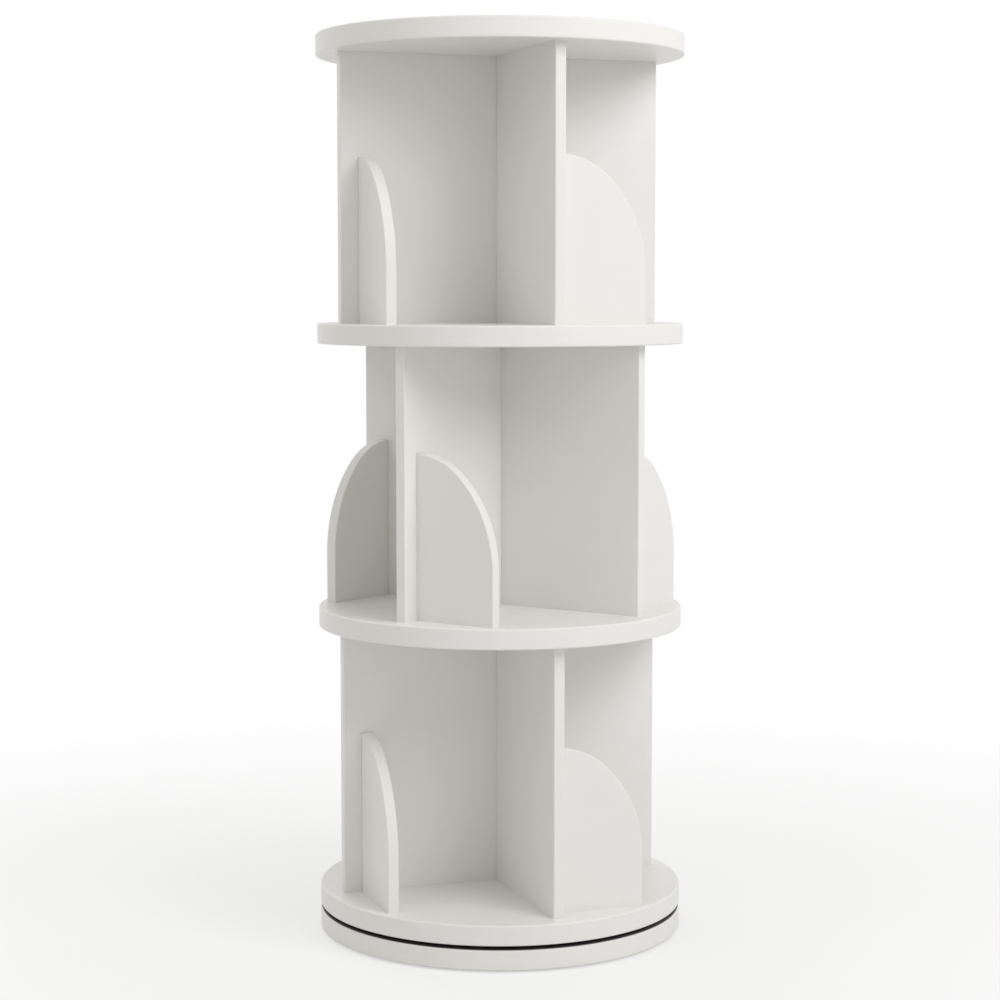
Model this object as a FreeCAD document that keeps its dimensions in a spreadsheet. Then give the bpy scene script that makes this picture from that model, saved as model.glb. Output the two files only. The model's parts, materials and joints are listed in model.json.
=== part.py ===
# Revolving bookcase: three tiers of round shelves that turn on a plinth. Lengths in millimetres,
# angles in degrees. The tower turns about Z, and the floor is the plane Z = 0.
import FreeCAD, Part
import math
import os
import Sketcher

# Driving dimensions, one cell each
SIZES = {
    # round boards and the heights between them
    "board_diameter": 400,
    "board_thickness": 22,
    "board_edge_radius": 2,
    "tier_height": 288,
    "running_gap": 4,
    "middle_twist": 35.6,
    # dividers, halved into each other at the axis
    "divider_thickness": 12,
    "divider_inset": 17.5,
    "divider_edge_radius": 1.5,
    # book stops, let into the dividers
    "stop_thickness": 12,
    "stop_setback": 20,
    "stop_reach": 97.5,
    "stop_height": 176,
    "stop_curve_height": 120,
    "stop_edge_radius": 1.5,
    "stop_groove_depth": 4,
    # countersunk screws from below, through a shelf
    "screw_length": 50,
    "screw_diameter": 4,
    "screw_head_diameter": 8,
    "screw_tip": 5,
    "screw_sink": 0.3,
    "divider_screw_inset": 60,
    # cam bolts in the board above a divider, and the cams that draw them down
    "cam_diameter": 12,
    "cam_depth": 9.5,
    "cam_drop": 24,
    "cam_inset": 45,
    "cam_recess_length": 7,
    "cam_recess_width": 1.6,
    "cam_recess_depth": 1.5,
    "bolt_diameter": 5,
    "bolt_thread_length": 11,
    "bolt_neck_diameter": 3.6,
    "bolt_head_diameter": 5.6,
    "bolt_head_length": 4,
    # ball bearing between plinth and bottom shelf
    "recess_depth": 5,
    "recess_margin": 2,
    "ring_width": 16,
    "ring_step": 1,
    "race_gap": 3,
    "race_clearance": 0.1,
    "ball_circle_diameter": 145,
    "ball_diameter": 5,
    "ball_count": 16,
    "cage_clearance": 0.5,
    "cage_lip": 0.9,
    "ring_screw_length": 16,
    "ring_screw_diameter": 3.5,
    "ring_screw_head_diameter": 7,
    "ring_screw_tip": 4,
    "ring_screw_sink": 0.2,
    "ring_screw_count": 4,
    "access_hole_diameter": 14,
    # pads under the plinth
    "pad_diameter": 30,
    "pad_thickness": 2,
    "pad_inset": 35,
    "pad_count": 6,
    # room around seated pieces, and the run of a cut past the face it opens
    "fit_clearance": 0.1,
    "cut_overrun": 1,
}

document = FreeCAD.newDocument("revolving_bookcase")
sheet = document.addObject("Spreadsheet::Sheet", "sizes")
for row, (alias, size) in enumerate(SIZES.items(), start=1):
    sheet.set(f"A{row}", alias)
    sheet.set(f"B{row}", str(size))
    sheet.setAlias(f"B{row}", alias)
document.recompute()

# Arms of the cross in each tier, and the tiers from the floor up with the turn of their cross
ARMS = 4
TIERS = {"bottom": "0", "middle": "sizes.middle_twist", "top": "0"}
TIER_NAMES = list(TIERS)
BOARD_NAMES = ["bottom_shelf", "lower_shelf", "upper_shelf", "top_panel"]
MATCH_SHARE = 1e-6
CLEARANCE = "sizes.fit_clearance"
OVERRUN = "sizes.cut_overrun"

# Heights above the floor
PLINTH_BOTTOM = "sizes.pad_thickness"
PLINTH_TOP = f"({PLINTH_BOTTOM} + sizes.board_thickness)"
TOWER_BOTTOM = f"({PLINTH_TOP} + sizes.running_gap)"
TIER_PITCH = "(sizes.board_thickness + sizes.tier_height)"

# Distances from the axis, along an arm of the cross or across it
BOARD_RADIUS = "(sizes.board_diameter / 2)"
DIVIDER_END = f"({BOARD_RADIUS} - sizes.divider_inset)"
DIVIDER_FACE = "(sizes.divider_thickness / 2)"
STOP_OUTER = f"({DIVIDER_END} - sizes.stop_setback)"
STOP_INNER = f"({STOP_OUTER} - sizes.stop_thickness)"
STOP_TONGUE = f"({DIVIDER_FACE} - sizes.stop_groove_depth + {CLEARANCE})"
STOP_END = f"({DIVIDER_FACE} + sizes.stop_reach)"
DIVIDER_SCREW = f"({DIVIDER_END} - sizes.divider_screw_inset)"
STOP_SCREW = (f"({STOP_OUTER} - sizes.stop_thickness / 2)", f"({DIVIDER_FACE} + sizes.stop_reach / 2)")
CAM_AXIS = f"({DIVIDER_END} - sizes.cam_inset)"

# Bearing: the rings stand a step apart in height, so that each rubs on one board only
BEARING_FLOOR = f"({PLINTH_TOP} - sizes.recess_depth)"
BEARING_HEIGHT = "(sizes.recess_depth + sizes.running_gap)"
RING_HEIGHT = f"({BEARING_HEIGHT} - sizes.ring_step)"
BALL_LEVEL = f"({BEARING_FLOOR} + {BEARING_HEIGHT} / 2)"
BALL_CIRCLE = "(sizes.ball_circle_diameter / 2)"
OUTER_RING_INSIDE = f"({BALL_CIRCLE} + sizes.race_gap / 2)"
OUTER_RING_OUTSIDE = f"({OUTER_RING_INSIDE} + sizes.ring_width)"
INNER_RING_OUTSIDE = f"({BALL_CIRCLE} - sizes.race_gap / 2)"
INNER_RING_INSIDE = f"({INNER_RING_OUTSIDE} - sizes.ring_width)"
OUTER_RING_SCREW = f"({OUTER_RING_INSIDE} + sizes.ring_width / 2)"
INNER_RING_SCREW = f"({INNER_RING_OUTSIDE} - sizes.ring_width / 2)"
RING_SCREW_BITE = f"(sizes.ring_screw_length + sizes.ring_screw_sink - {RING_HEIGHT} + {CLEARANCE})"
SCREW_BITE = f"(sizes.screw_length + sizes.screw_sink - sizes.board_thickness + {CLEARANCE})"

# Places on sketch geometry, as the sketcher counts them from one, and its number for the origin
START, END, CENTRE = range(1, 4)
SKETCH_ORIGIN = -1


def number(formula):
    """The value of a formula in the sheet's aliases."""
    return float(sheet.evalExpression(formula))


def board_bottom(level):
    return f"({TOWER_BOTTOM} + {level} * {TIER_PITCH})"


def tier_floor(level):
    return f"({board_bottom(level)} + sizes.board_thickness)"


def turned(x, y, turn):
    """A point turned about the axis of the tower."""
    return (f"(({x}) * cos({turn}) - ({y}) * sin({turn}))", f"(({x}) * sin({turn}) + ({y}) * cos({turn}))")


# Bodies and sketches
def new_body(label, height="0", turn="0"):
    body = document.addObject("PartDesign::Body", label)
    body.Label = label
    body.setExpression("Placement.Base.z", height)
    body.setExpression("Placement.Rotation.Angle", turn)
    return body


def origin_feature(body, role):
    return next(feature for feature in body.Origin.OriginFeatures if feature.Role == role)


def new_sketch(body, name, plane, x="0", y="0", rise="0"):
    """A sketch on an origin plane of its body, shifted in that plane and lifted along its normal."""
    sketch = body.newObject("Sketcher::SketchObject", f"{body.Label}_{name}")
    sketch.AttachmentSupport = [(origin_feature(body, plane), "")]
    sketch.MapMode = "FlatFace"
    for axis, formula in zip("xyz", (x, y, rise)):
        sketch.setExpression(f"AttachmentOffset.Base.{axis}", formula)
    return sketch


def upright_sketch(body, name, x, y, z):
    """A sketch whose vertical axis stands at x, y and whose origin is at height z."""
    return new_sketch(body, name, "XZ_Plane", x, z, f"-({y})")


def pin(sketch, geometry, place, x, y):
    for kind, formula in (("DistanceX", x), ("DistanceY", y)):
        constraint = Sketcher.Constraint(kind, SKETCH_ORIGIN, START, geometry, place, number(formula))
        index = sketch.addConstraint(constraint)
        sketch.setExpression(f"Constraints[{index}]", formula)


def point(x, y):
    return FreeCAD.Vector(number(x), number(y), 0)


def draw_polygon(sketch, corners):
    count = len(corners)
    vertices = [point(x, y) for x, y in corners]
    for index in range(count):
        sketch.addGeometry(Part.LineSegment(vertices[index], vertices[(index + 1) % count]))
    for index, (x, y) in enumerate(corners):
        sketch.addConstraint(Sketcher.Constraint("Coincident", index, END, (index + 1) % count, START))
        pin(sketch, index, START, x, y)


def draw_rectangle(sketch, left, bottom, right, top):
    draw_polygon(sketch, [(left, bottom), (right, bottom), (right, top), (left, top)])


def draw_circle(sketch, x, y, radius):
    circle = Part.Circle(point(x, y), FreeCAD.Vector(0, 0, 1), number(radius))
    geometry = sketch.addGeometry(circle)
    pin(sketch, geometry, CENTRE, x, y)
    index = sketch.addConstraint(Sketcher.Constraint("Radius", geometry, number(radius)))
    sketch.setExpression(f"Constraints[{index}]", radius)


# Features
def add_feature(body, kind, name):
    feature = body.newObject(f"PartDesign::{kind}", f"{body.Label}_{name}")
    body.Tip = feature
    return feature


def pad(body, sketch, length, against_normal=False):
    feature = add_feature(body, "Pad", f"{sketch.Label}_pad")
    feature.Profile = sketch
    feature.setExpression("Length", length)
    feature.Reversed = against_normal
    document.recompute()
    return feature


def revolve(body, sketch):
    feature = add_feature(body, "Revolution", f"{sketch.Label}_turned")
    feature.Profile = sketch
    feature.ReferenceAxis = (sketch, ["V_Axis"])
    document.recompute()
    return feature


def require_cut(body, feature, volume):
    document.recompute()
    if not body.Shape.Volume < volume:
        raise ValueError(f"{feature.Label} removes nothing")
    return feature


def pocket(body, sketch, depth, along_normal=False):
    volume = body.Shape.Volume
    feature = add_feature(body, "Pocket", f"{sketch.Label}_cut")
    feature.Profile = sketch
    feature.setExpression("Length", depth)
    feature.Reversed = along_normal
    return require_cut(body, feature, volume)


def groove(body, sketch):
    volume = body.Shape.Volume
    feature = add_feature(body, "Groove", f"{sketch.Label}_cut")
    feature.Profile = sketch
    feature.ReferenceAxis = (sketch, ["V_Axis"])
    return require_cut(body, feature, volume)


def repeat_around_axis(body, originals, count):
    feature = add_feature(body, "PolarPattern", f"{originals[0].Label}_repeat")
    feature.Originals = originals
    feature.Axis = (origin_feature(body, "Z_Axis"), [""])
    feature.setExpression("Occurrences", str(count))
    document.recompute()
    return feature


def round_edges(body, chosen, radius):
    """A fillet along every edge of the body that the test picks."""
    base = body.Tip
    names = [f"Edge{index}" for index, edge in enumerate(base.Shape.Edges, start=1) if chosen(edge)]
    feature = add_feature(body, "Fillet", "rounding")
    feature.Base = (base, names)
    feature.setExpression("Radius", radius)
    document.recompute()


def same(one, other):
    return abs(one - other) < MATCH_SHARE * SIZES["board_diameter"]


# Screws and their seats, drawn from the flat of the head in the direction of the point, 1 up or -1 down
def screw(body, name, x, y, z, kind, direction):
    head = f"sizes.{kind}_head_diameter / 2"
    shank = f"sizes.{kind}_diameter / 2"
    neck = f"{direction} * ({head} - {shank})"
    shoulder = f"{direction} * (sizes.{kind}_length - sizes.{kind}_tip)"
    tip = f"{direction} * sizes.{kind}_length"
    sketch = upright_sketch(body, name, x, y, z)
    draw_polygon(sketch, [("0", "0"), (head, "0"), (shank, neck), (shank, shoulder), ("0", tip)])
    return revolve(body, sketch)


def screw_seat(body, name, x, y, z, kind, direction, depth):
    head = f"(sizes.{kind}_head_diameter / 2 + {CLEARANCE})"
    shank = f"(sizes.{kind}_diameter / 2 + {CLEARANCE})"
    mouth = f"-{direction} * (sizes.{kind}_sink + {OVERRUN})"
    neck = f"{direction} * ({head} - {shank})"
    end = f"{direction} * ({depth} + {OVERRUN})"
    profile = [("0", mouth), (head, mouth), (head, "0"), (shank, neck), (shank, end), ("0", end)]
    sketch = upright_sketch(body, name, x, y, z)
    draw_polygon(sketch, profile)
    return groove(body, sketch)


def pilot_hole(body, name, x, y, rise, radius, depth, upward):
    sketch = new_sketch(body, name, "XY_Plane", rise=rise)
    draw_circle(sketch, x, y, radius)
    return pocket(body, sketch, depth, along_normal=upward)


# Round boards
def on_rim(edge):
    return edge.isClosed() and same(edge.Length, math.pi * SIZES["board_diameter"])


def round_board(label, height):
    body = new_body(label, height)
    sketch = new_sketch(body, "disc", "XY_Plane")
    draw_circle(sketch, "0", "0", BOARD_RADIUS)
    pad(body, sketch, "sizes.board_thickness")
    round_edges(body, on_rim, "sizes.board_edge_radius")
    return body


def drill_for_tier_above(board, turn):
    """Countersunk holes for the screws into the dividers and stops that stand on a board."""
    places = {"divider_screw": (DIVIDER_SCREW, "0"), "stop_screw": STOP_SCREW}
    seats = []
    for name, (along, across) in places.items():
        x, y = turned(along, across, turn)
        seats.append(screw_seat(board, name, x, y, "sizes.screw_sink", "screw", 1, "sizes.board_thickness"))
    repeat_around_axis(board, seats, ARMS)


def drill_for_tier_below(board, turn):
    """Blind holes for the cam bolts that draw a board down on the dividers under it."""
    x, y = turned(CAM_AXIS, "0", turn)
    radius = f"sizes.bolt_diameter / 2 + {CLEARANCE}"
    depth = f"sizes.bolt_thread_length + {CLEARANCE}"
    hole = pilot_hole(board, "bolt_hole", x, y, "0", radius, depth, upward=True)
    repeat_around_axis(board, [hole], ARMS)


def drill_for_ring(board, screw_circle, rise, upward):
    radius = f"sizes.ring_screw_diameter / 2 + {CLEARANCE}"
    hole = pilot_hole(board, "ring_hole", screw_circle, "0", rise, radius, RING_SCREW_BITE, upward)
    repeat_around_axis(board, [hole], "sizes.ring_screw_count")


def make_boards():
    for level, name in enumerate(BOARD_NAMES):
        board = round_board(name, board_bottom(level))
        if level < len(TIER_NAMES):
            drill_for_tier_above(board, TIERS[TIER_NAMES[level]])
        if level > 0:
            drill_for_tier_below(board, TIERS[TIER_NAMES[level - 1]])
        else:
            drill_for_ring(board, INNER_RING_SCREW, "0", upward=True)


# Plinth, with the bearing let into it and a hole to reach the screws of the inner ring
def make_plinth():
    body = round_board("plinth", PLINTH_BOTTOM)
    recess = new_sketch(body, "recess", "XY_Plane", rise="sizes.board_thickness")
    draw_circle(recess, "0", "0", f"{OUTER_RING_OUTSIDE} + sizes.recess_margin")
    pocket(body, recess, "sizes.recess_depth")
    drill_for_ring(body, OUTER_RING_SCREW, "sizes.board_thickness - sizes.recess_depth", upward=False)
    x, y = turned(INNER_RING_SCREW, "0", "180 / sizes.ring_screw_count")
    radius = "sizes.access_hole_diameter / 2"
    pilot_hole(body, "access_hole", x, y, "0", radius, "sizes.board_thickness", upward=True)


def make_foot_pads():
    body = new_body("foot_pads")
    sketch = new_sketch(body, "pad", "XY_Plane")
    draw_circle(sketch, f"{BOARD_RADIUS} - sizes.pad_inset", "0", "sizes.pad_diameter / 2")
    disc = pad(body, sketch, "sizes.pad_thickness")
    repeat_around_axis(body, [disc], "sizes.pad_count")


# Ball bearing
def bearing_ring(label, height, inside, outside, screw_circle, direction):
    """A flat ring with a ball groove, screwed through in the given direction."""
    body = new_body(label, height)
    section = new_sketch(body, "section", "XZ_Plane")
    draw_rectangle(section, inside, "0", outside, RING_HEIGHT)
    revolve(body, section)
    race = new_sketch(body, "race", "XZ_Plane")
    race_radius = "sizes.ball_diameter / 2 + sizes.race_clearance"
    draw_circle(race, BALL_CIRCLE, f"{BALL_LEVEL} - {height}", race_radius)
    groove(body, race)
    sink = "sizes.ring_screw_sink" if direction > 0 else f"{RING_HEIGHT} - sizes.ring_screw_sink"
    seat = screw_seat(body, "screw", screw_circle, "0", sink, "ring_screw", direction, RING_HEIGHT)
    repeat_around_axis(body, [seat], "sizes.ring_screw_count")


def ring_screws(label, height, screw_circle, direction):
    body = new_body(label, height)
    master = screw(body, "screw", screw_circle, "0", "0", "ring_screw", direction)
    repeat_around_axis(body, [master], "sizes.ring_screw_count")


def make_ball_cage():
    body = new_body("ball_cage", BALL_LEVEL)
    half_height = "(sizes.ball_diameter / 2 + sizes.cage_lip)"
    section = new_sketch(body, "band", "XZ_Plane")
    inside = f"{INNER_RING_OUTSIDE} + sizes.cage_clearance"
    outside = f"{OUTER_RING_INSIDE} - sizes.cage_clearance"
    draw_rectangle(section, inside, f"-{half_height}", outside, half_height)
    revolve(body, section)
    window = new_sketch(body, "window", "YZ_Plane")
    draw_circle(window, "0", "0", f"sizes.ball_diameter / 2 + {CLEARANCE}")
    hole = pocket(body, window, OUTER_RING_INSIDE, along_normal=True)
    repeat_around_axis(body, [hole], "sizes.ball_count")


def make_bearing_balls():
    body = new_body("bearing_balls", BALL_LEVEL)
    ball = add_feature(body, "AdditiveSphere", "ball")
    ball.AttachmentSupport = [(origin_feature(body, "XY_Plane"), "")]
    ball.MapMode = "FlatFace"
    ball.setExpression("AttachmentOffset.Base.x", BALL_CIRCLE)
    ball.setExpression("Radius", "sizes.ball_diameter / 2")
    document.recompute()
    repeat_around_axis(body, [ball], "sizes.ball_count")


def make_bearing():
    outer_bottom = BEARING_FLOOR
    inner_bottom = f"({BEARING_FLOOR} + sizes.ring_step)"
    bearing_ring(
        "turntable_outer_ring", outer_bottom, OUTER_RING_INSIDE, OUTER_RING_OUTSIDE, OUTER_RING_SCREW, -1
    )
    bearing_ring(
        "turntable_inner_ring", inner_bottom, INNER_RING_INSIDE, INNER_RING_OUTSIDE, INNER_RING_SCREW, 1
    )
    outer_heads = f"{outer_bottom} + {RING_HEIGHT} - sizes.ring_screw_sink"
    inner_heads = f"{inner_bottom} + sizes.ring_screw_sink"
    ring_screws("outer_ring_screws", outer_heads, OUTER_RING_SCREW, -1)
    ring_screws("inner_ring_screws", inner_heads, INNER_RING_SCREW, 1)
    make_ball_cage()
    make_bearing_balls()


# Dividers: boards along X in their own frame, one slotted from the top and the other from the bottom
def slotted_outline(slot_at_top):
    height = "sizes.tier_height"
    side = f"({DIVIDER_FACE} + {CLEARANCE})"
    left = f"-{DIVIDER_END}"
    if slot_at_top:
        slot = [(side, height), (side, f"{height} / 2"), (f"-{side}", f"{height} / 2"), (f"-{side}", height)]
        return [(left, "0"), (DIVIDER_END, "0"), (DIVIDER_END, height), *slot, (left, height)]
    crown = f"{height} / 2 + {CLEARANCE}"
    slot = [(f"-{side}", "0"), (f"-{side}", crown), (side, crown), (side, "0")]
    return [(left, "0"), *slot, (DIVIDER_END, "0"), (DIVIDER_END, height), (left, height)]


def on_divider_end(edge):
    """The upright edges at both ends."""
    ends = [vertex.Point for vertex in edge.Vertexes]
    upright = same(ends[0].x, ends[-1].x) and same(ends[0].y, ends[-1].y)
    return upright and same(abs(ends[0].x), number(DIVIDER_END))


def divider(label, floor, turn, slot_at_top, cam_side):
    """A divider with its cams let in from the side of positive (1) or negative (-1) Y."""
    body = new_body(label, floor, turn)
    outline = new_sketch(body, "outline", "XZ_Plane", rise=f"-{DIVIDER_FACE}")
    draw_polygon(outline, slotted_outline(slot_at_top))
    pad(body, outline, "sizes.divider_thickness")
    round_edges(body, on_divider_end, "sizes.divider_edge_radius")

    # Housing for a stop and pilot hole for a screw, once on each arm
    housing = new_sketch(body, "housing", "XZ_Plane", rise=f"-{DIVIDER_FACE}")
    stop_top = f"sizes.stop_height + {CLEARANCE}"
    draw_rectangle(
        housing, f"{STOP_INNER} - {CLEARANCE}", f"-{OVERRUN}", f"{STOP_OUTER} + {CLEARANCE}", stop_top
    )
    housing_cut = pocket(body, housing, "sizes.stop_groove_depth", along_normal=True)
    radius = f"sizes.screw_diameter / 2 + {CLEARANCE}"
    screw_hole = pilot_hole(body, "screw_hole", DIVIDER_SCREW, "0", "0", radius, SCREW_BITE, upward=True)
    repeat_around_axis(body, [housing_cut, screw_hole], ARMS // 2)

    # Cam pockets, and the holes that the bolts come down
    cams = new_sketch(body, "cams", "XZ_Plane", rise=f"{-cam_side} * {DIVIDER_FACE}")
    bolts = new_sketch(body, "bolts", "XY_Plane", rise="sizes.tier_height")
    for arm in ("", "-"):
        cam_level = "sizes.tier_height - sizes.cam_drop"
        draw_circle(cams, f"{arm}{CAM_AXIS}", cam_level, f"sizes.cam_diameter / 2 + {CLEARANCE}")
        draw_circle(bolts, f"{arm}{CAM_AXIS}", "0", f"sizes.bolt_head_diameter / 2 + {CLEARANCE}")
    pocket(body, cams, f"sizes.cam_depth + {CLEARANCE}", along_normal=cam_side > 0)
    pocket(body, bolts, "sizes.cam_drop")


# Book stops: plates square to an arm, with a tongue in the divider and a free corner in two arcs
def free_corner():
    """Where the arcs of the free corner meet, and the turn and radii there, tangent throughout."""
    reach = "sizes.stop_reach"
    fall = "sizes.stop_curve_height"
    crown_radius = f"({reach} ^ 2 / {fall})"
    flank_radius = f"({fall} * ({fall} + {reach}) / (2 * {reach}))"
    angle = f"atan(2 * {reach} * ({fall} + {reach}) / ({fall} * ({fall} + 2 * {reach})))"
    meet_x = f"({DIVIDER_FACE} + {crown_radius} * cos({angle}))"
    meet_y = f"(sizes.stop_height - {crown_radius} * (1 - sin({angle})))"
    return (meet_x, meet_y), angle, crown_radius, flank_radius


def draw_stop(sketch):
    meet, angle, crown_radius, flank_radius = free_corner()
    top = "sizes.stop_height"
    shoulder = f"({top} - sizes.stop_curve_height)"
    normal = FreeCAD.Vector(0, 0, 1)
    flank_circle = Part.Circle(point(f"{STOP_END} - {flank_radius}", shoulder), normal, number(flank_radius))
    crown_circle = Part.Circle(point(DIVIDER_FACE, f"{top} - {crown_radius}"), normal, number(crown_radius))
    bend = math.radians(number(angle))
    foot = sketch.addGeometry(Part.LineSegment(point(STOP_TONGUE, "0"), point(STOP_END, "0")))
    side = sketch.addGeometry(Part.LineSegment(point(STOP_END, "0"), point(STOP_END, shoulder)))
    flank = sketch.addGeometry(Part.ArcOfCircle(flank_circle, 0, bend))
    crown = sketch.addGeometry(Part.ArcOfCircle(crown_circle, bend, math.pi / 2))
    ledge = sketch.addGeometry(Part.LineSegment(point(DIVIDER_FACE, top), point(STOP_TONGUE, top)))
    tongue = sketch.addGeometry(Part.LineSegment(point(STOP_TONGUE, top), point(STOP_TONGUE, "0")))
    joints = [("Coincident", foot, side), ("Tangent", side, flank), ("Coincident", flank, crown)]
    joints += [("Tangent", crown, ledge), ("Coincident", ledge, tongue), ("Coincident", tongue, foot)]
    for kind, one, following in joints:
        sketch.addConstraint(Sketcher.Constraint(kind, one, END, following, START))
    pin(sketch, foot, START, STOP_TONGUE, "0")
    pin(sketch, side, START, STOP_END, "0")
    pin(sketch, side, END, STOP_END, shoulder)
    pin(sketch, crown, START, *meet)
    pin(sketch, ledge, START, DIVIDER_FACE, top)
    pin(sketch, tongue, START, STOP_TONGUE, top)


def on_stop_rim(edge):
    """The edges of both faces along the free end and over the rounded corner."""
    box = edge.BoundBox
    in_face = same(box.XMin, box.XMax)
    beyond_divider = box.YMax > number(DIVIDER_FACE) and not same(box.ZMax, 0)
    return in_face and beyond_divider


def book_stop(label, floor, turn):
    body = new_body(label, floor, turn)
    outline = new_sketch(body, "outline", "YZ_Plane", rise=STOP_INNER)
    draw_stop(outline)
    pad(body, outline, "sizes.stop_thickness")
    round_edges(body, on_stop_rim, "sizes.stop_edge_radius")
    radius = f"sizes.screw_diameter / 2 + {CLEARANCE}"
    pilot_hole(body, "screw_hole", *STOP_SCREW, "0", radius, SCREW_BITE, upward=True)


# Fittings of a tier, each kind a group of equal pieces
def board_screws(label, floor, turn):
    body = new_body(label, floor, turn)
    heads = "sizes.screw_sink - sizes.board_thickness"
    in_divider = screw(body, "divider_screw", DIVIDER_SCREW, "0", heads, "screw", 1)
    in_stop = screw(body, "stop_screw", *STOP_SCREW, heads, "screw", 1)
    repeat_around_axis(body, [in_divider, in_stop], ARMS)


def cam_bolts(label, floor, turn):
    body = new_body(label, floor, turn)
    sketch = upright_sketch(body, "bolt", CAM_AXIS, "0", "sizes.tier_height")
    thread = "sizes.bolt_diameter / 2"
    neck = "sizes.bolt_neck_diameter / 2"
    head = "sizes.bolt_head_diameter / 2"
    head_top = "-(sizes.cam_drop - sizes.bolt_head_length / 2)"
    head_bottom = "-(sizes.cam_drop + sizes.bolt_head_length / 2)"
    profile = [("0", "sizes.bolt_thread_length"), (thread, "sizes.bolt_thread_length"), (thread, "0")]
    profile += [(neck, "0"), (neck, head_top), (head, head_top), (head, head_bottom), ("0", head_bottom)]
    draw_polygon(sketch, profile)
    repeat_around_axis(body, [revolve(body, sketch)], ARMS)


def cross_outline(x, y, length, width):
    """The twelve corners of an upright cross."""
    far = f"{length} / 2"
    near = f"{width} / 2"
    quarter = [(far, f"-{near}"), (far, near), (near, near)]
    quarter += [(near, far), (f"-{near}", far), (f"-{near}", near)]
    corners = quarter + [(f"-({across})", f"-({along})") for across, along in quarter]
    return [(f"{x} + ({across})", f"{y} + ({along})") for across, along in corners]


def cams_in_divider(body, name, plane, inward):
    """Two cams let in from a divider's face, where inward is 1 if that is along the plane's normal."""
    face = f"{-inward} * {DIVIDER_FACE}"
    deep_end = f"{inward} * (sizes.cam_depth - {DIVIDER_FACE})"
    level = "(sizes.tier_height - sizes.cam_drop)"
    radius = "(sizes.cam_diameter / 2)"
    slot = f"(sizes.bolt_head_diameter / 2 + {CLEARANCE})"
    slot_floor = f"{level} - sizes.bolt_head_length / 2 - {CLEARANCE}"
    slot_depth = f"sizes.cam_depth - {DIVIDER_FACE} + {slot}"
    for arm, side in (("near", ""), ("far", "-")):
        axis = f"{side}{CAM_AXIS}"
        disc = new_sketch(body, f"{name}_{arm}_cam", plane, rise=face)
        draw_circle(disc, axis, level, radius)
        pad(body, disc, "sizes.cam_depth", against_normal=inward < 0)
        hook = new_sketch(body, f"{name}_{arm}_hook", plane, rise=deep_end)
        draw_rectangle(
            hook, f"{axis} - {slot}", slot_floor, f"{axis} + {slot}", f"{level} + {radius} + {OVERRUN}"
        )
        pocket(body, hook, slot_depth, along_normal=inward < 0)
        recess = new_sketch(body, f"{name}_{arm}_recess", plane, rise=face)
        draw_polygon(recess, cross_outline(axis, level, "sizes.cam_recess_length", "sizes.cam_recess_width"))
        pocket(body, recess, "sizes.cam_recess_depth", along_normal=inward > 0)


def cam_locks(label, floor, turn):
    body = new_body(label, floor, turn)
    cams_in_divider(body, "long", "XZ_Plane", 1)
    cams_in_divider(body, "cross", "YZ_Plane", -1)


def make_tier(name, level, turn):
    floor = tier_floor(level)
    quarter_turn = f"360 / {ARMS}"
    divider(f"{name}_long_divider", floor, turn, slot_at_top=True, cam_side=1)
    divider(f"{name}_cross_divider", floor, f"{turn} + {quarter_turn}", slot_at_top=False, cam_side=-1)
    for arm in range(ARMS):
        book_stop(f"{name}_stop_{arm + 1}", floor, f"{turn} + {arm} * {quarter_turn}")
    board_screws(f"{name}_board_screws", floor, turn)
    cam_bolts(f"{name}_cam_bolts", floor, turn)
    cam_locks(f"{name}_cam_locks", floor, turn)


def check_and_export():
    document.recompute()
    for item in document.Objects:
        if {"Invalid", "Error"} & set(item.State):
            raise ValueError(f"{item.Label} failed: {item.State}")
    bodies = [item for item in document.Objects if item.TypeId == "PartDesign::Body"]
    for body in bodies:
        if body.Shape.isNull() or not body.Shape.isValid():
            raise ValueError(f"{body.Label} has no valid shape")
    os.makedirs("parts", exist_ok=True)
    for body in bodies:
        body.Shape.exportStep(f"parts/{body.Label}.step")


make_foot_pads()
make_plinth()
make_bearing()
make_boards()
for tier_level, (tier_name, tier_turn) in enumerate(TIERS.items()):
    make_tier(tier_name, tier_level, tier_turn)
check_and_export()
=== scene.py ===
import json
import math

import bmesh
import bpy
from mathutils import Matrix, Vector

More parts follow.
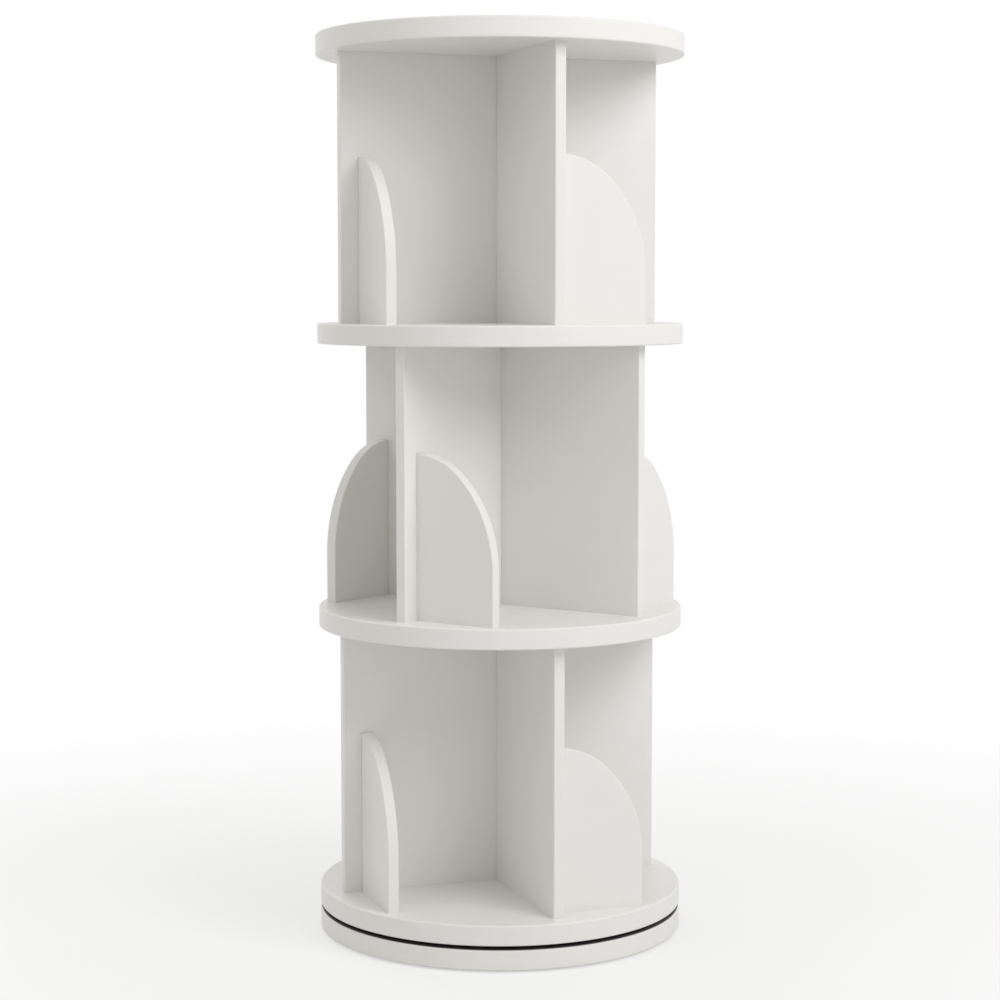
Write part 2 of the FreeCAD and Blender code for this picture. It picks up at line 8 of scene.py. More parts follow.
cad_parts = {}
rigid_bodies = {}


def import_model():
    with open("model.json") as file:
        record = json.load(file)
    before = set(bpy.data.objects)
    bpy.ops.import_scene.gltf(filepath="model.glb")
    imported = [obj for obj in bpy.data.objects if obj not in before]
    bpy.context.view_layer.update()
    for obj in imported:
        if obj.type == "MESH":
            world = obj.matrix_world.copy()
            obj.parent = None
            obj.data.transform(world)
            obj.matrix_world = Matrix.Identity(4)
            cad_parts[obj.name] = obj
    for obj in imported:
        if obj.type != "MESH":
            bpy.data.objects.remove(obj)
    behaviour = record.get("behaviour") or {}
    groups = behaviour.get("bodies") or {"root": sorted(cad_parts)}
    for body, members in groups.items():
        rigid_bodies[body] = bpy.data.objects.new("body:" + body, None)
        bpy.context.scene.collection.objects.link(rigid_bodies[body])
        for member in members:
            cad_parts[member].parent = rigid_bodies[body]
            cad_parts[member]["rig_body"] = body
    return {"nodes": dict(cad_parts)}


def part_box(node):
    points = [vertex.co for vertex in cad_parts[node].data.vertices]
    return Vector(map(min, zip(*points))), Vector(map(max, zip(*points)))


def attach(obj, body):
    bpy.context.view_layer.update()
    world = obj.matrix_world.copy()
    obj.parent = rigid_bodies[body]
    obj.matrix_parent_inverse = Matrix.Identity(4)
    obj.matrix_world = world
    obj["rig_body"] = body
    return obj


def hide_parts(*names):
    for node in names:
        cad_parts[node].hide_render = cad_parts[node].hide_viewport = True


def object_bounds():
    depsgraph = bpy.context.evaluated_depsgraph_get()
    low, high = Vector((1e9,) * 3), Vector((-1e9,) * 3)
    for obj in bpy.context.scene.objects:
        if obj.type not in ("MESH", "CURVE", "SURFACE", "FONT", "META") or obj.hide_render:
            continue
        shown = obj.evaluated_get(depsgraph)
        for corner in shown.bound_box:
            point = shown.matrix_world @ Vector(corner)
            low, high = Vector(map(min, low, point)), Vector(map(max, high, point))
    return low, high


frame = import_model()
cad_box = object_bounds()
nodes = frame["nodes"]
scene = bpy.context.scene
MM = 0.001
MICRON = 0.001 * MM

# Shader nodes, with the colour sockets of a Mix node by place, because its other sockets share their names
MIX_FIRST_COLOUR = 6
MIX_SECOND_COLOUR = 7
MIX_COLOUR_RESULT = 2
BEVEL_SAMPLES = 4
SHADE_SAMPLES = 8


def set_inputs(tree, node, inputs):
    """Sets each input to a value, or links it to a socket."""
    for key, value in inputs.items():
        if isinstance(value, bpy.types.NodeSocket):
            tree.links.new(value, node.inputs[key])
        else:
            node.inputs[key].default_value = value


def add_node(tree, kind, inputs=None, **settings):
    node = tree.nodes.new(f"ShaderNode{kind}")
    for setting, value in settings.items():
        setattr(node, setting, value)
    set_inputs(tree, node, inputs or {})
    return node


def calculate(tree, operation, *values):
    node = add_node(tree, "Math", dict(enumerate(values)), operation=operation)
    return node.outputs["Value"]


def remap(tree, value, start, end, low=0.0, high=1.0):
    """The value from low to high spread over start to end, and held there outside."""
    inputs = {"Value": value, "From Min": low, "From Max": high, "To Min": start, "To Max": end}
    return add_node(tree, "MapRange", inputs).outputs["Result"]


def mix_colours(tree, share, first, second):
    """The first colour where the share is 0, changing to the second where it is 1."""
    node = add_node(tree, "Mix", data_type="RGBA")
    set_inputs(tree, node, {"Factor": share, MIX_FIRST_COLOUR: first, MIX_SECOND_COLOUR: second})
    return node.outputs[MIX_COLOUR_RESULT]


def noise(tree, place, grain, detail=2.0):
    """A noise from 0 to 1 with lumps about one grain wide."""
    inputs = {"Vector": place, "Scale": 1 / grain, "Detail": detail}
    return add_node(tree, "TexNoise", inputs).outputs["Fac"]


def bump(tree, height, depth, below=None):
    """The surface normal over a height from 0 to 1 that stands for the given depth."""
    inputs = {"Height": height, "Distance": depth, "Strength": 1.0}
    if below is not None:
        inputs["Normal"] = below
    return add_node(tree, "Bump", inputs).outputs["Normal"]


def object_place(tree):
    return add_node(tree, "TexCoord").outputs["Object"]


def edge_mask(tree, width):
    """1 along the sharp edges of a piece, falling to 0 about one width away."""
    rounded = add_node(tree, "Bevel", {"Radius": width}, samples=BEVEL_SAMPLES).outputs["Normal"]
    true_normal = add_node(tree, "NewGeometry").outputs["Normal"]
    likeness = add_node(tree, "VectorMath", {0: rounded, 1: true_normal}, operation="DOT_PRODUCT")
    return remap(tree, likeness.outputs["Value"], start=1.0, end=0.0, low=0.8, high=0.99)


def corner_shade(tree, reach):
    """0 deep in an inner corner, rising to 1 in the open."""
    return add_node(tree, "AmbientOcclusion", {"Distance": reach}, samples=SHADE_SAMPLES).outputs["AO"]


def empty_tree(owner):
    """The node tree of a material or a world, with nothing in it."""
    owner.use_nodes = True
    owner.node_tree.nodes.clear()
    return owner.node_tree


def new_material(name):
    """A material with a single shader, and with it the node tree and the shader."""
    material = bpy.data.materials.new(name)
    tree = empty_tree(material)
    shader = add_node(tree, "BsdfPrincipled")
    add_node(tree, "OutputMaterial", {"Surface": shader.outputs["BSDF"]})
    return material, tree, shader


def grey(level):
    return (level, level, level, 1.0)


# The running gap between the plinth and the bottom shelf, where the lacquer fades into a painted shade,
# near black
GAP_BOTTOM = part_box("plinth")[1].z
GAP_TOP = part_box("bottom_shelf")[0].z
GAP_SHADE_FADE = 0.6 * MM


def gap_shade_mask(tree, place):
    """1 on the faces of the running gap, falling to 0 just round the edges of the two boards."""
    middle = (GAP_BOTTOM + GAP_TOP) / 2
    half_gap = (GAP_TOP - GAP_BOTTOM) / 2
    height = add_node(tree, "SeparateXYZ", {"Vector": place}).outputs["Z"]
    from_middle = calculate(tree, "ABSOLUTE", calculate(tree, "SUBTRACT", height, middle))
    return remap(tree, from_middle, start=1.0, end=0.0, low=half_gap, high=half_gap + GAP_SHADE_FADE)


# Finishes
def white_lacquer(name, roughness_shift=0.0):
    """Satin white lacquer on fibreboard: a faint peel, clouds, specks and thin edges, with dust and painted
    shade in inner corners, and painted shade, near black, in deep hollows and in the running gap.
    """
    cloud_grain = 90 * MM
    rub_grain = 22 * MM
    speck_grain = 0.7 * MM
    speck_depth = 1.5 * MICRON
    peel_grain = 2.6 * MM
    peel_depth = 7 * MICRON
    edge_width = 0.8 * MM
    hollow_reach = 14 * MM
    dull_white = (0.852, 0.841, 0.820, 1.0)
    clear_white = (0.882, 0.872, 0.856, 1.0)
    speck_tone = (0.80, 0.79, 0.77, 1.0)
    thin_tone = (0.78, 0.765, 0.735, 1.0)
    # Tone of dust and painted shade in inner corners
    dust_and_shade_tone = (0.74, 0.725, 0.695, 1.0)
    # Tone of painted shade, near black, deep in hollows and narrow gaps
    deep_shade_tone = (0.10, 0.096, 0.09, 1.0)
    # Tone of the painted shade on the faces of the running gap
    gap_shade_tone = (0.135, 0.132, 0.126, 1.0)

    material, tree, shader = new_material(name)
    place = object_place(tree)
    clouds = noise(tree, place, cloud_grain)
    rubbed = noise(tree, place, rub_grain, detail=4.0)
    speckle = noise(tree, place, speck_grain, detail=1.0)
    peel = noise(tree, place, peel_grain)
    openness = corner_shade(tree, hollow_reach)

    specks = remap(tree, speckle, start=0.0, end=0.25, low=0.55, high=0.8)
    rubbed_through = remap(tree, rubbed, start=0.0, end=0.5, low=0.4, high=0.7)
    thin_edges = calculate(tree, "MULTIPLY", edge_mask(tree, edge_width), rubbed_through)
    # Dust and painted shade: the lacquer darker and warmer in inner corners, where less light reaches
    dust_and_painted_shade = remap(tree, openness, start=0.3, end=0.0, low=0.25, high=0.85)
    # Painted shade: near black deep in hollows and narrow gaps, where hardly any light reaches
    deep_painted_shade = remap(tree, openness, start=0.92, end=0.0, low=0.02, high=0.18)
    tone = mix_colours(tree, clouds, dull_white, clear_white)
    tone = mix_colours(tree, specks, tone, speck_tone)
    tone = mix_colours(tree, thin_edges, tone, thin_tone)
    tone = mix_colours(tree, dust_and_painted_shade, tone, dust_and_shade_tone)
    tone = mix_colours(tree, deep_painted_shade, tone, deep_shade_tone)
    # Painted shade: the faces of the running gap near black
    tone = mix_colours(tree, gap_shade_mask(tree, place), tone, gap_shade_tone)

    smoothest = 0.33 + roughness_shift
    roughest = 0.47 + roughness_shift
    roughness = remap(tree, rubbed, smoothest, roughest, low=0.25, high=0.75)
    relief = bump(tree, speckle, speck_depth, bump(tree, peel, peel_depth))
    set_inputs(tree, shader, {"Base Color": tone, "Roughness": roughness, "Normal": relief})
    set_inputs(tree, shader, {"Coat Weight": 0.15, "Coat Roughness": 0.25})
    return material


def turned_aluminium():
    """Aluminium with the fine rings of the lathe about the axis of the tower."""
    ring_grain = 0.18 * MM
    ring_depth = 3 * MICRON
    smear_grain = 9 * MM
    dull_tone = (0.74, 0.745, 0.755, 1.0)
    bright_tone = (0.83, 0.83, 0.83, 1.0)
    across_axis = (1.0, 1.0, 0.0)

    material, tree, shader = new_material("turned_aluminium")
    place = object_place(tree)
    flat_place = add_node(tree, "VectorMath", {0: place, 1: across_axis}, operation="MULTIPLY")
    radius = add_node(tree, "VectorMath", {0: flat_place.outputs["Vector"]}, operation="LENGTH")
    ring_inputs = {"W": radius.outputs["Value"], "Scale": 1 / ring_grain}
    rings = add_node(tree, "TexNoise", ring_inputs, noise_dimensions="1D").outputs["Fac"]
    smears = noise(tree, place, smear_grain, detail=3.0)

    tone = mix_colours(tree, smears, dull_tone, bright_tone)
    ring_roughness = remap(tree, rings, start=0.0, end=0.14)
    smear_roughness = remap(tree, smears, start=0.2, end=0.32)
    roughness = calculate(tree, "ADD", ring_roughness, smear_roughness)
    relief = bump(tree, rings, ring_depth)
    set_inputs(tree, shader, {"Base Color": tone, "Roughness": roughness, "Normal": relief})
    set_inputs(tree, shader, {"Metallic": 1.0, "Anisotropic": 0.5})
    return material


def plated_steel():
    """Bright zinc plating, a little straw-coloured in places."""
    stain_grain = 3 * MM
    grit_grain = 0.12 * MM
    grit_depth = 2 * MICRON
    zinc_tone = (0.68, 0.69, 0.71, 1.0)
    straw_tone = (0.74, 0.70, 0.60, 1.0)

    material, tree, shader = new_material("plated_steel")
    place = object_place(tree)
    stain = noise(tree, place, stain_grain, detail=3.0)
    grit = noise(tree, place, grit_grain)

    straw = remap(tree, stain, start=0.0, end=1.0, low=0.35, high=0.75)
    tone = mix_colours(tree, straw, zinc_tone, straw_tone)
    roughness = remap(tree, stain, start=0.24, end=0.40, low=0.3, high=0.7)
    relief = bump(tree, grit, grit_depth)
    set_inputs(tree, shader, {"Base Color": tone, "Roughness": roughness, "Normal": relief})
    set_inputs(tree, shader, {"Metallic": 1.0})
    return material


def cast_zinc():
    """Die-cast zinc: grey, grainy and pitted."""
    skin_grain = 0.45 * MM
    skin_depth = 14 * MICRON
    pit_grain = 1.1 * MM
    pit_depth = 20 * MICRON
    zinc_tone = (0.52, 0.525, 0.53, 1.0)
    pit_tone = (0.36, 0.36, 0.365, 1.0)

    material, tree, shader = new_material("cast_zinc")
    place = object_place(tree)
    skin = noise(tree, place, skin_grain, detail=4.0)
    pits = remap(tree, noise(tree, place, pit_grain), start=0.0, end=1.0, low=0.62, high=0.72)
    above_pits = calculate(tree, "SUBTRACT", 1.0, pits)

    tone = mix_colours(tree, pits, zinc_tone, pit_tone)
    roughness = remap(tree, skin, start=0.42, end=0.62, low=0.3, high=0.7)
    relief = bump(tree, skin, skin_depth, bump(tree, above_pits, pit_depth))
    set_inputs(tree, shader, {"Base Color": tone, "Roughness": roughness, "Normal": relief})
    set_inputs(tree, shader, {"Metallic": 1.0})
    return material


def ball_steel():
    """Polished chrome steel with the faint marks of running."""
    mark_grain = 0.5 * MM
    mark_depth = 0.4 * MICRON
    dull_tone = (0.74, 0.75, 0.77, 1.0)
    bright_tone = (0.82, 0.825, 0.84, 1.0)

    material, tree, shader = new_material("ball_steel")
    marks = noise(tree, object_place(tree), mark_grain, detail=5.0)

    tone = mix_colours(tree, marks, dull_tone, bright_tone)
    roughness = remap(tree, marks, start=0.05, end=0.18, low=0.4, high=0.75)
    relief = bump(tree, marks, mark_depth)
    set_inputs(tree, shader, {"Base Color": tone, "Roughness": roughness, "Normal": relief})
    set_inputs(tree, shader, {"Metallic": 1.0})
    return material


def cage_nylon():
    """Moulded natural nylon, ivory and slightly cloudy."""
    cloud_grain = 5 * MM
    skin_grain = 0.3 * MM
    skin_depth = 6 * MICRON
    light_depth = 1 * MM
    ivory_tone = (0.76, 0.73, 0.65, 1.0)
    pale_tone = (0.83, 0.81, 0.74, 1.0)

    material, tree, shader = new_material("cage_nylon")
    place = object_place(tree)
    clouds = noise(tree, place, cloud_grain, detail=3.0)
    skin = noise(tree, place, skin_grain)

    tone = mix_colours(tree, clouds, ivory_tone, pale_tone)
    roughness = remap(tree, clouds, start=0.42, end=0.55, low=0.3, high=0.7)
    relief = bump(tree, skin, skin_depth)
    set_inputs(tree, shader, {"Base Color": tone, "Roughness": roughness, "Normal": relief})
    set_inputs(tree, shader, {"Subsurface Weight": 0.25, "Subsurface Scale": light_depth})
    return material


def pad_rubber():
    """Dark foam rubber with a fine open grain and pale scuffs."""
    foam_grain = 0.5 * MM
    foam_depth = 40 * MICRON
    scuff_grain = 7 * MM
    pore_tone = grey(0.022)
    foam_tone = grey(0.045)
    scuff_tone = grey(0.11)

    material, tree, shader = new_material("pad_rubber")
    place = object_place(tree)
    foam = noise(tree, place, foam_grain, detail=3.0)
    scuffed = noise(tree, place, scuff_grain, detail=4.0)

    scuffs = remap(tree, scuffed, start=0.0, end=0.5, low=0.52, high=0.75)
    tone = mix_colours(tree, foam, pore_tone, foam_tone)
    tone = mix_colours(tree, scuffs, tone, scuff_tone)
    roughness = remap(tree, foam, start=0.72, end=0.92, low=0.3, high=0.7)
    relief = bump(tree, foam, foam_depth)
    set_inputs(tree, shader, {"Base Color": tone, "Roughness": roughness, "Normal": relief})
    return material


# Finishes of the nodes that show as they are, and of the pieces below that stand for the others
def paint(material, names):
    for name in names:
        nodes[name].data.materials.clear()
        nodes[name].data.materials.append(material)


PANELS = [name for name in nodes if name.endswith("_divider") or "_stop_" in name]
SCREWS = [name for name in nodes if name.endswith("_screws")]
BOLTS = [name for name in nodes if name.endswith("_bolts")]
LOCKS = [name for name in nodes if name.endswith("_locks")]
steel = plated_steel()
board_lacquer = white_lacquer("white_lacquer_board")
paint(white_lacquer("white_lacquer_panel", roughness_shift=0.04), PANELS)
paint(turned_aluminium(), ["turntable_outer_ring", "turntable_inner_ring"])
paint(cast_zinc(), LOCKS)
paint(ball_steel(), ["bearing_balls"])
paint(cage_nylon(), ["ball_cage"])
paint(pad_rubber(), ["foot_pads"])

# Solids from turned outlines, joined and cut, that stand for nodes
COLUMNS = 24
WELD = 0.01 * MM
SMOOTH_ANGLE = math.radians(40)


def new_object(name, data):
    """An object in the scene that holds a mesh, a light or a camera."""
    item = bpy.data.objects.new(name, data)
    scene.collection.objects.link(item)
    return item


def lathe(outline, columns=COLUMNS):
    """A closed surface turned about Z, from (radius, height) points. Ends off the axis get flat caps."""
    mesh = bmesh.new()
    points = [mesh.verts.new((radius, 0.0, height)) for radius, height in outline]
    edges = [mesh.edges.new(pair) for pair in zip(points, points[1:])]
    turn = {"axis": (0, 0, 1), "cent": (0, 0, 0), "angle": math.tau, "steps": columns}
    bmesh.ops.spin(mesh, geom=points + edges, use_merge=True, **turn)
    bmesh.ops.remove_doubles(mesh, verts=mesh.verts, dist=WELD)
    bmesh.ops.holes_fill(mesh, edges=mesh.edges, sides=0)
    bmesh.ops.recalc_face_normals(mesh, faces=mesh.faces)
    return mesh


def combined(name, solid, *others):
    """One mesh from a solid with others joined to it or cut from it, each given as (operation, mesh)."""
    pieces = []
    for part in (solid, *(mesh for _, mesh in others)):
        data = bpy.data.meshes.new(name)
        part.to_mesh(data)
        part.free()
        pieces.append(new_object(name, data))
    for (operation, _), piece in zip(others, pieces[1:]):
        modifier = pieces[0].modifiers.new(operation, "BOOLEAN")
        modifier.operation = operation
        modifier.solver = "EXACT"
        modifier.object = piece
    finished = pieces[0].evaluated_get(bpy.context.evaluated_depsgraph_get())
    result = bpy.data.meshes.new_from_object(finished)
    for piece in pieces:
        bpy.data.objects.remove(piece)
    return result


def solids_of(name):
    """The lowest and highest corner of each separate solid in a node, in order of place."""
    mesh = bmesh.new()
    mesh.from_mesh(nodes[name].data)
    bmesh.ops.remove_doubles(mesh, verts=mesh.verts, dist=WELD)
    unseen = set(mesh.verts)
    boxes = []
    while unseen:
        island, waiting = [], [unseen.pop()]
        while waiting:
            vertex = waiting.pop()
            island.append(vertex.co.copy())
            linked = {edge.other_vert(vertex) for edge in vertex.link_edges} & unseen
            unseen -= linked
            waiting.extend(linked)
        low = [min(values) for values in zip(*island)]
        high = [max(values) for values in zip(*island)]
        boxes.append((Vector(low), Vector(high)))
    mesh.free()
    return sorted(boxes, key=lambda box: tuple(box[0]))


def put_in_place_of(name, piece_name, mesh, material):
    """A piece from a mesh that rides with a node's body and stands for the node."""
    mesh.name = piece_name
    mesh.shade_smooth()
    mesh.set_sharp_from_angle(angle=SMOOTH_ANGLE)
    mesh.materials.append(material)
    piece = new_object(piece_name, mesh)
    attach(piece, nodes[name]["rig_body"])
    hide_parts(name)
    return piece


# Threaded fittings, drawn upright with the head at the bottom
FINE_WELD = 1 * MICRON
THREAD_SINK = 0.1 * MM
FADE_TURNS = 0.5
BOLT_THREAD_RADIUS = 2.5 * MM

# Shares of a screw's head radius
SHANK_SHARE = 0.5
RECESS_LENGTH_SHARE = 1.1
RECESS_WIDTH_SHARE = 0.22
RECESS_DEPTH_SHARE = 0.4

# Shares of a screw's shank, the core of its radius and the other two of its diameter
CORE_SHARE = 0.66
PITCH_SHARE = 0.55
TIP_SHARE = 1.25

# Width of a cross recess at its floor, as a share of its width at the mouth
RECESS_TAPER = 0.55


def thread(start, end, pitch, core_at, height):
    """A helical ridge on a core, two thirds of a pitch wide at its foot, which rises and runs out."""
    mesh = bmesh.new()
    steps = round((end - start) / pitch * COLUMNS)
    fade_steps = FADE_TURNS * COLUMNS
    half_foot = pitch / 3
    rings = []
    for step in range(steps + 1):
        angle = math.tau * step / COLUMNS
        level = start + pitch * step / COLUMNS
        fade = min(1.0, step / fade_steps, (steps - step) / fade_steps)
        root = core_at(level) - THREAD_SINK
        crest = root + (height + THREAD_SINK) * fade
        section = [(root, level - half_foot), (crest, level), (root, level + half_foot)]
        corners = [(radius * math.cos(angle), radius * math.sin(angle), z) for radius, z in section]
        rings.append([mesh.verts.new(corner) for corner in corners])
    for ring, following in zip(rings, rings[1:]):
        for side, after in ((0, 1), (1, 2), (2, 0)):
            mesh.faces.new((ring[side], ring[after], following[after], following[side]))
    bmesh.ops.remove_doubles(mesh, verts=mesh.verts, dist=FINE_WELD)
    bmesh.ops.recalc_face_normals(mesh, faces=mesh.faces)
    return mesh


def cross_recess(length, width, depth):
    """A cross with tapered wings, sunk upwards from the flat of a head."""
    mesh = bmesh.new()
    far, near = length / 2, width / 2
    quarter = [(far, -near), (far, near), (near, near), (near, far), (-near, far), (-near, near)]
    outline = quarter + [(-x, -y) for x, y in quarter]
    mouth = [mesh.verts.new((x, y, -depth)) for x, y in outline]
    floor = [mesh.verts.new((x * RECESS_TAPER, y * RECESS_TAPER, depth)) for x, y in outline]
    mesh.faces.new(mouth)
    mesh.faces.new(reversed(floor))
    for index in range(len(outline)):
        after = (index + 1) % len(outline)
        mesh.faces.new((mouth[index], floor[index], floor[after], mouth[after]))
    bmesh.ops.recalc_face_normals(mesh, faces=mesh.faces)
    return mesh


def countersunk_screw(head_radius, length):
    """A chipboard screw with a cross recess, a short plain neck and a coarse thread down to its point."""
    shank = SHANK_SHARE * head_radius
    core = CORE_SHARE * shank
    pitch = PITCH_SHARE * 2 * shank
    head_height = head_radius - shank
    thread_start = head_height + pitch
    tip_start = length - TIP_SHARE * 2 * shank

    def core_at(level):
        return core * min(1.0, (length - level) / (length - tip_start))

    outline = [(0.0, 0.0), (head_radius, 0.0), (shank, head_height), (core, thread_start)]
    outline += [(core, tip_start), (0.0, length)]
    ridge = thread(thread_start, length - pitch, pitch, core_at, shank - core)
    recess_length = RECESS_LENGTH_SHARE * head_radius
    recess_width = RECESS_WIDTH_SHARE * head_radius
    recess_depth = RECESS_DEPTH_SHARE * head_radius
    recess = cross_recess(recess_length, recess_width, recess_depth)
    return combined("screw", lathe(outline), ("UNION", ridge), ("DIFFERENCE", recess))


def cam_bolt(length):
    """A cam bolt: the head that the cam grips, a thin neck, a collar and a coarse thread."""
    head_radius = 2.8 * MM
    neck_radius = 1.8 * MM
    collar_radius = 2.5 * MM
    core_radius = 1.9 * MM
    head_length = 4 * MM
    collar_length = 1 * MM
    thread_length = 11 * MM
    pitch = 2 * MM
    round_off = 0.4 * MM
    head_edge = head_radius - round_off
    seat = length - thread_length
    collar_end = seat + collar_length
    outline = [(0.0, 0.0), (head_edge, 0.0), (head_radius, round_off)]
    outline += [(head_radius, head_length - round_off), (head_edge, head_length)]
    outline += [(neck_radius, head_length), (neck_radius, seat), (collar_radius, seat)]
    outline += [(collar_radius, collar_end), (core_radius, collar_end), (core_radius, length - round_off)]
    outline += [(core_radius - round_off, length), (0.0, length)]
    start, end = collar_end + pitch / 2, length - pitch / 2
    ridge = thread(start, end, pitch, lambda level: core_radius, BOLT_THREAD_RADIUS - core_radius)
    return combined("bolt", lathe(outline), ("UNION", ridge))


def stand_in(name, make, head_up=False):
    """Copies of a fitting, made to the size of a node's first solid, in the place of all its solids."""
    boxes = solids_of(name)
    low, high = boxes[0]
    fitting = make((high.x - low.x) / 2, high.z - low.z)
    turn = Matrix.Rotation(math.pi if head_up else 0.0, 4, "X")
    group = bmesh.new()
    for low, high in boxes:
        head_level = high.z if head_up else low.z
        place = Matrix.Translation(((low.x + high.x) / 2, (low.y + high.y) / 2, head_level))
        copy = fitting.copy()
        copy.transform(place @ turn)
        group.from_mesh(copy)
        bpy.data.meshes.remove(copy)
    mesh = bpy.data.meshes.new(name)
    group.to_mesh(mesh)
    group.free()
    put_in_place_of(name, f"{name}_threaded", mesh, steel)


for name in SCREWS:
    stand_in(name, countersunk_screw, head_up=name == "outer_ring_screws")
for name in BOLTS:
    stand_in(name, lambda radius, length: cam_bolt(length))

# Round boards, turned with an even rim and drilled for the fittings that reach into them
RIM_COLUMNS = 288
RIM_STEPS = 8
RIM_ROUNDING = 2 * MM
FIT = 0.1 * MM
OVERRUN = 1 * MM
RECESS_MARGIN = 2 * MM
ACCESS_HOLE_RADIUS = 7 * MM
FITTINGS_IN_BOARD = {
    "plinth": ("outer_ring_screws",),
    "bottom_shelf": ("inner_ring_screws", "bottom_board_screws"),
    "lower_shelf": ("bottom_cam_bolts", "middle_board_screws"),
    "upper_shelf": ("middle_cam_bolts", "top_board_screws"),
    "top_panel": ("top_cam_bolts",),
}


def disc(radius, bottom, top):
    """A round board with rounded edges."""
    inside = radius - RIM_ROUNDING
    turns = [math.pi / 2 * step / RIM_STEPS for step in range(RIM_STEPS + 1)]
    edge = [(inside + RIM_ROUNDING * math.sin(turn), RIM_ROUNDING * (1 - math.cos(turn))) for turn in turns]
    lower = [(reach, bottom + rise) for reach, rise in edge]
    upper = [(reach, top - rise) for reach, rise in reversed(edge)]
    return lathe(lower + upper, RIM_COLUMNS)


def add_hole(holes, x, y, outline, columns=COLUMNS):
    """Adds a turned hole at a place to a mesh of holes."""
    hole = lathe(outline, columns)
    bmesh.ops.translate(hole, verts=hole.verts, vec=(x, y, 0.0))
    data = bpy.data.meshes.new("hole")
    hole.to_mesh(data)
    hole.free()
    holes.from_mesh(data)
    bpy.data.meshes.remove(data)


def hole_outline(fitting, low, high, bottom, top):
    """A countersunk seat right through a board, or a blind hole from the face that a thread enters by."""
    radius = (high.x - low.x) / 2
    head = radius + FIT
    shank = (BOLT_THREAD_RADIUS if fitting in BOLTS else SHANK_SHARE * radius) + FIT
    if fitting.endswith("_board_screws"):
        seat = [(head, bottom - OVERRUN), (head, low.z), (shank, low.z + head - shank)]
        return seat + [(shank, top + OVERRUN)]
    if fitting == "outer_ring_screws":
        return [(shank, low.z - FIT), (shank, top + OVERRUN)]
    return [(shank, bottom - OVERRUN), (shank, high.z + FIT)]


def fitting_holes(name, bottom, top):
    """The holes in a board for all screws and bolts that reach into it."""
    holes = bmesh.new()
    for fitting in FITTINGS_IN_BOARD[name]:
        for low, high in solids_of(fitting):
            centre = (low + high) / 2
            add_hole(holes, centre.x, centre.y, hole_outline(fitting, low, high, bottom, top))
    return holes


def bearing_recess(top):
    """The round recess in the plinth that the bearing lies in."""
    low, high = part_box("turntable_outer_ring")
    radius = high.x + RECESS_MARGIN
    recess = bmesh.new()
    add_hole(recess, 0.0, 0.0, [(radius, low.z), (radius, top + OVERRUN)], RIM_COLUMNS)
    return recess


def access_hole(bottom, top):
    """The hole in the plinth, halfway between two inner ring screws, that a driver reaches them by."""
    screws = solids_of("inner_ring_screws")
    low, high = screws[0]
    centre = (low + high) / 2
    reach = math.hypot(centre.x, centre.y)
    halfway = math.pi / len(screws)
    outline = [(ACCESS_HOLE_RADIUS, bottom - OVERRUN), (ACCESS_HOLE_RADIUS, top + OVERRUN)]
    hole = bmesh.new()
    add_hole(hole, reach * math.cos(halfway), reach * math.sin(halfway), outline)
    return hole


def turned_board(name):
    low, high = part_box(name)
    cuts = [fitting_holes(name, low.z, high.z)]
    if name == "plinth":
        cuts = [bearing_recess(high.z), access_hole(low.z, high.z)] + cuts
    board = disc(high.x, low.z, high.z)
    mesh = combined("board", board, *(("DIFFERENCE", cut) for cut in cuts))
    piece = put_in_place_of(name, f"{name}_turned", mesh, board_lacquer)
    piece.modifiers.new("even_normals", "WEIGHTED_NORMAL").keep_sharp = True


for name in FITTINGS_IN_BOARD:
    turned_board(name)

# Floor and background, white to the camera and in mirrors, while the light that they give stays plain
FLOOR_SIZE = 40.0
FLOOR_TONE = grey(0.85)
FLOOR_FADE = (0.2, 1.3)
FLOOR_WHITE_SHARES = (0.6, 1.0)
WHITE = grey(1.0)
ROOM_COLOUR = (1.0, 0.98, 0.925, 1.0)
ROOM_LIGHT = 0.5
WHITE_LIGHT = 1.0


def seen_directly(tree):
    """1 for the camera, for reflections and through glass, and 0 for light that falls on a surface."""
    rays = add_node(tree, "LightPath").outputs
    mirrored = calculate(tree, "MAXIMUM", rays["Is Glossy Ray"], rays["Is Transmission Ray"])
    return calculate(tree, "MAXIMUM", rays["Is Camera Ray"], mirrored)


def floor_material():
    """Matt where light falls on it, and ever whiter to the eye away from the object."""
    material = bpy.data.materials.new("pale_floor")
    tree = empty_tree(material)
    matt = add_node(tree, "BsdfDiffuse", {"Color": FLOOR_TONE}).outputs["BSDF"]
    white = add_node(tree, "Emission", {"Color": WHITE, "Strength": WHITE_LIGHT}).outputs["Emission"]
    distance = add_node(tree, "VectorMath", {0: object_place(tree)}, operation="LENGTH").outputs["Value"]
    whiteness = remap(tree, distance, *FLOOR_WHITE_SHARES, *FLOOR_FADE)
    share = calculate(tree, "MULTIPLY", seen_directly(tree), whiteness)
    surface = add_node(tree, "MixShader", {0: share, 1: matt, 2: white}).outputs["Shader"]
    add_node(tree, "OutputMaterial", {"Surface": surface})
    return material


def make_floor():
    mesh = bpy.data.meshes.new("floor")
    half = FLOOR_SIZE / 2
    corners = [(-half, -half, 0.0), (half, -half, 0.0), (half, half, 0.0), (-half, half, 0.0)]
    mesh.from_pydata(corners, [], [(0, 1, 2, 3)])
    mesh.materials.append(floor_material())
    floor = new_object("floor", mesh)


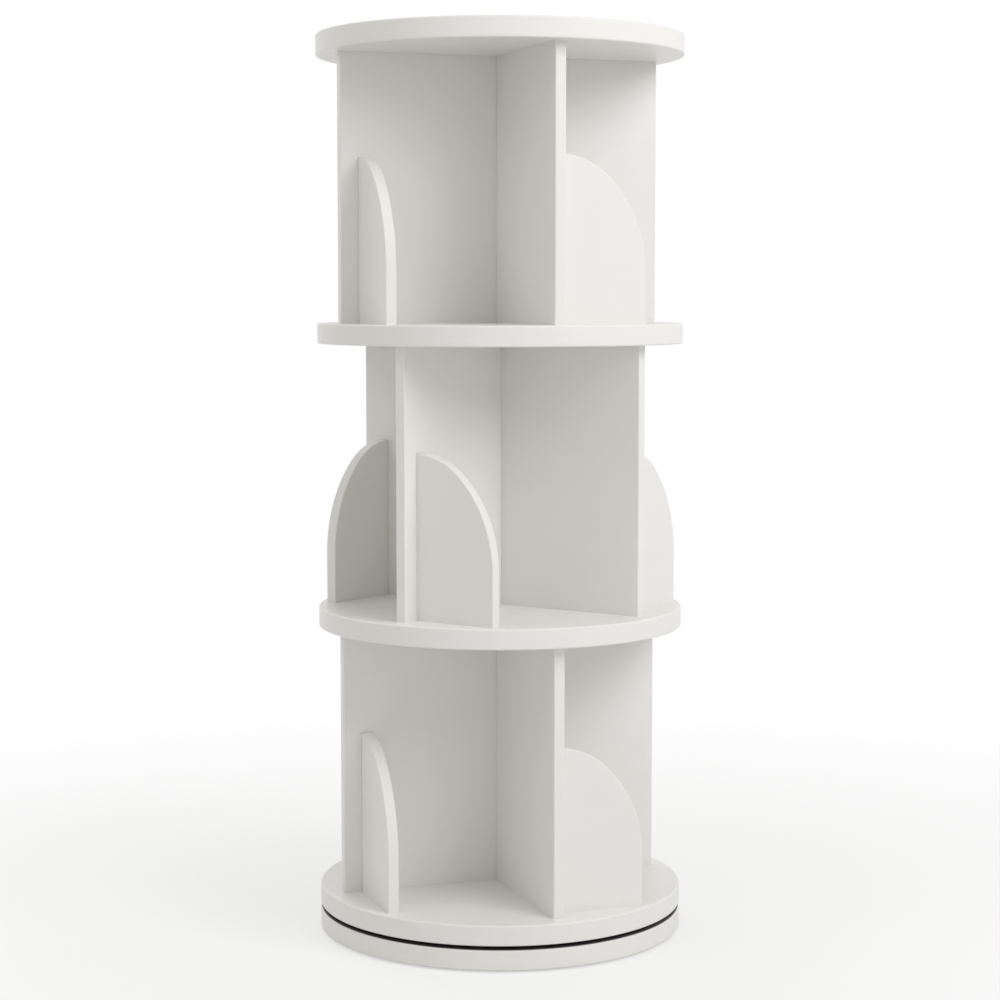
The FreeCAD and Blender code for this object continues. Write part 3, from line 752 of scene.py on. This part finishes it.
def make_world():
    world = bpy.data.worlds.new("studio")
    tree = empty_tree(world)
    seen = seen_directly(tree)
    colour = mix_colours(tree, seen, ROOM_COLOUR, WHITE)
    strength = remap(tree, seen, ROOM_LIGHT, WHITE_LIGHT)
    background = add_node(tree, "Background", {"Color": colour, "Strength": strength})
    add_node(tree, "OutputWorld", {"Surface": background.outputs["Background"]})
    scene.world = world


make_floor()
make_world()

# Soft light from the front right and above, with weaker ones from the left and from behind
LAMP_COLOUR = (0.96, 0.978, 1.0)
LAMPS = {
    "key": {"azimuth": 28.0, "distance": 2.0, "height": 1.9, "width": 1.5, "power": 27.5},
    "fill": {"azimuth": -75.0, "distance": 1.7, "height": 2.1, "width": 1.8, "power": 6.3},
    "back": {"azimuth": 190.0, "distance": 2.2, "height": 1.7, "width": 1.8, "power": 12.0},
}


def around(azimuth, distance, height):
    """A point at a distance from the axis, where azimuth 0 is on the side of -Y and 90 on that of +X."""
    angle = math.radians(azimuth)
    return Vector((math.sin(angle) * distance, -math.cos(angle) * distance, height))


def soft_light(name, target, azimuth, distance, height, width, power):
    """A round lamp that faces the target, and lights pale surfaces without glaring in them."""
    data = bpy.data.lights.new(name, "AREA")
    data.shape = "DISK"
    data.size = width
    data.energy = power
    data.color = LAMP_COLOUR
    place = around(azimuth, distance, height)
    lamp = new_object(name, data)
    lamp.visible_glossy = False
    lamp.location = place
    lamp.rotation_euler = (target - place).to_track_quat("-Z", "Y").to_euler()


middle_of_object = (cad_box[0] + cad_box[1]) / 2
for name, lamp in LAMPS.items():
    soft_light(name, middle_of_object, **lamp)

# Camera at the photograph's angle
CAMERA_AZIMUTH = -19.8
CAMERA_DISTANCE = 2.545
CAMERA_HEIGHT = 0.706
CAMERA_PITCH = 5.19
LENS = 83.27


def make_camera():
    data = bpy.data.cameras.new("camera")
    data.lens = LENS
    camera = new_object("camera", data)
    camera.location = around(CAMERA_AZIMUTH, CAMERA_DISTANCE, CAMERA_HEIGHT)
    camera.rotation_euler = (math.radians(90.0 - CAMERA_PITCH), 0.0, math.radians(CAMERA_AZIMUTH))
    scene.camera = camera


make_camera()
scene.view_settings.view_transform = "Standard"
